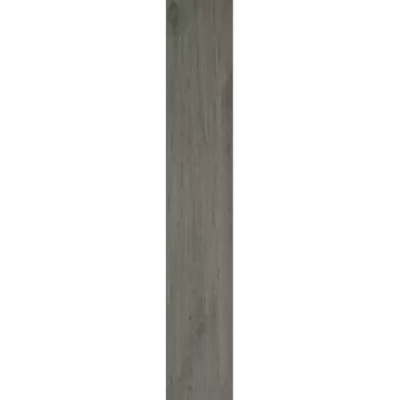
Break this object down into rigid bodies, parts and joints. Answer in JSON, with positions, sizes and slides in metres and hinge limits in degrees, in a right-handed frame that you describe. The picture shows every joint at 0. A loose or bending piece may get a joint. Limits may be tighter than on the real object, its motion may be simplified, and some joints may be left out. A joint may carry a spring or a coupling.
{
  "type": "wood look porcelain plank tile",
  "caption": "Long narrow matt porcelain floor or wall tile with a weathered grey-brown wood grain face, squared bevelled edges and a back of shallow keying cells.",
  "frame": {"origin": "centre of the back, in the plane of the rib crests on which the plank beds", "axes": "+X across the plank, +Y along its length and grain, +Z out of the printed face"},
  "size_m": [0.2, 1.2, 0.009],
  "materials": {
    "glazed_porcelain": "matte"
  },
  "bodies": {
    "root": {"plank_tile": "glazed_porcelain"}
  },
  "joints": []
}
